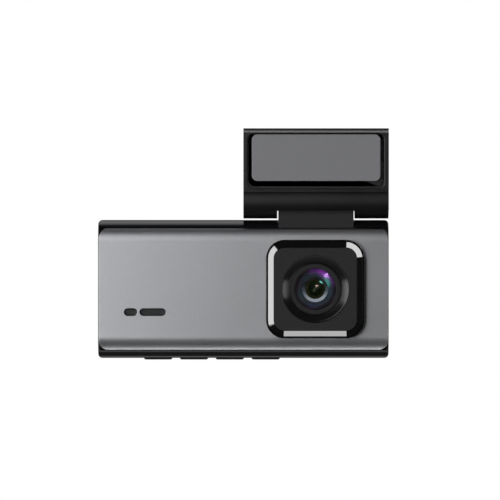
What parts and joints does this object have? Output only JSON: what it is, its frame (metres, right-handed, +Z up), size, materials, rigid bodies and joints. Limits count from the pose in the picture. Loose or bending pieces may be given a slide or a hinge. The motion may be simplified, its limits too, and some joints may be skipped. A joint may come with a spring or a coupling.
{
  "type": "dash camera",
  "caption": "Dash camera with a flat grey-fronted body and square lens bezel, hung by a friction hinge from an adhesive windscreen bracket.",
  "frame": {"origin": "centre of the adhesive pad's outer face, which meets the windscreen", "axes": "+Z up along the bracket, +X along the body's width, -Y out of the pad and the way the lens looks"},
  "size_m": [0.1, 0.0252, 0.0798],
  "materials": {
    "bracket_plastic": "fine satin moulded plastic, nearly black",
    "pad_foam": "smooth grey release film over acrylic foam tape",
    "screw_steel": "blackened steel",
    "pin_steel": "ground steel",
    "spring_steel": "bright spring steel",
    "neck_plastic": "matt moulded plastic, charcoal",
    "plate_metal": "satin gunmetal grey, anodised look",
    "shell_plastic": "polished black plastic",
    "bezel_gloss": "piano black with a polished chamfer",
    "face_plastic": "very fine matt black",
    "ring_black": "turned ring, satin black",
    "barrel_black": "matt black inside the lens",
    "lens_glass": "coated optical glass, blue-green and purple reflections",
    "filter_glass": "tinted filter glass",
    "inner_plastic": "plain black moulding",
    "chip_black": "matt epoxy package",
    "circuit_board": "green solder mask",
    "connector_plastic": "cream plastic",
    "heat_rubber": "soft blue-grey heat pad",
    "spreader_aluminium": "plain sheet",
    "shield_steel": "tinned steel",
    "board_part": "small moulded parts",
    "switch_body": "tinned steel can",
    "display_gloss": "black printed cover glass",
    "display_dark": "dark display panel",
    "backlight_white": "white light guide",
    "mesh_steel": "black woven mesh",
    "boot_rubber": "black rubber",
    "battery_foil": "pouch foil",
    "antenna_film": "copper on brown film",
    "button_plastic": "satin black keys",
    "card_plastic": "black card"
  },
  "bodies": {
    "bracket": {"bracket_cover": "bracket_plastic", "bracket_base": "bracket_plastic", "adhesive_pad": "pad_foam", "bracket_screws": "screw_steel", "hinge_pin": "pin_steel", "hinge_caps": "bracket_plastic", "friction_washers": "spring_steel"},
    "camera": {"hinge_neck": "neck_plastic", "neck_screws": "screw_steel", "front_plate": "plate_metal", "body_shell": "shell_plastic", "rear_cover": "shell_plastic", "case_screws": "screw_steel", "lens_bezel": "bezel_gloss", "lens_face_plate": "face_plastic", "lens_ring": "ring_black", "lens_barrel": "barrel_black", "front_lens": "lens_glass", "aperture_stop": "barrel_black", "second_lens": "lens_glass", "lens_spacer": "barrel_black", "rear_lens": "lens_glass", "retaining_ring": "barrel_black", "lens_holder": "inner_plastic", "holder_screws": "screw_steel", "infrared_filter": "filter_glass", "image_sensor": "chip_black", "sensor_board": "circuit_board", "sensor_screws": "screw_steel", "board_connector": "connector_plastic", "main_board": "circuit_board", "processor": "chip_black", "heat_pad": "heat_rubber", "heat_spreader": "spreader_aluminium", "memory_chip": "chip_black", "wireless_module": "shield_steel", "board_parts": "board_part", "button_switches": "switch_body", "card_socket": "shield_steel", "usb_socket": "shield_steel", "rear_camera_jack": "inner_plastic", "display_glass": "display_gloss", "lcd_panel": "display_dark", "backlight": "backlight_white", "speaker": "inner_plastic", "sound_mesh": "mesh_steel", "microphone": "spring_steel", "microphone_boot": "boot_rubber", "backup_battery": "battery_foil", "wifi_antenna": "antenna_film"},
    "power_button": {"power_button": "button_plastic"},
    "menu_button": {"menu_button": "button_plastic"},
    "lock_button": {"lock_button": "button_plastic"},
    "ok_button": {"ok_button": "button_plastic"},
    "memory_card": {"memory_card": "card_plastic"}
  },
  "joints": [
    {"name": "bracket_tilt", "type": "hinge", "parent": "bracket", "child": "camera", "pos_m": [0, 0.0078, -0.0149], "axis": [1, 0, 0], "range_deg": [-10, 90]},
    {"name": "power_press", "type": "slide", "parent": "camera", "child": "power_button", "axis": [0, 0, 1], "range_m": [0, 0.00035], "stiffness_N_per_m": 500, "springref_m": -0.0008},
    {"name": "menu_press", "type": "slide", "parent": "camera", "child": "menu_button", "axis": [0, 0, 1], "range_m": [0, 0.00035], "stiffness_N_per_m": 500, "springref_m": -0.0008},
    {"name": "lock_press", "type": "slide", "parent": "camera", "child": "lock_button", "axis": [0, 0, 1], "range_m": [0, 0.00035], "stiffness_N_per_m": 500, "springref_m": -0.0008},
    {"name": "ok_press", "type": "slide", "parent": "camera", "child": "ok_button", "axis": [0, 0, 1], "range_m": [0, 0.00035], "stiffness_N_per_m": 500, "springref_m": -0.0008},
    {"name": "card_slide", "type": "slide", "parent": "camera", "child": "memory_card", "axis": [-1, 0, 0], "range_m": [0, 0.012]}
  ]
}
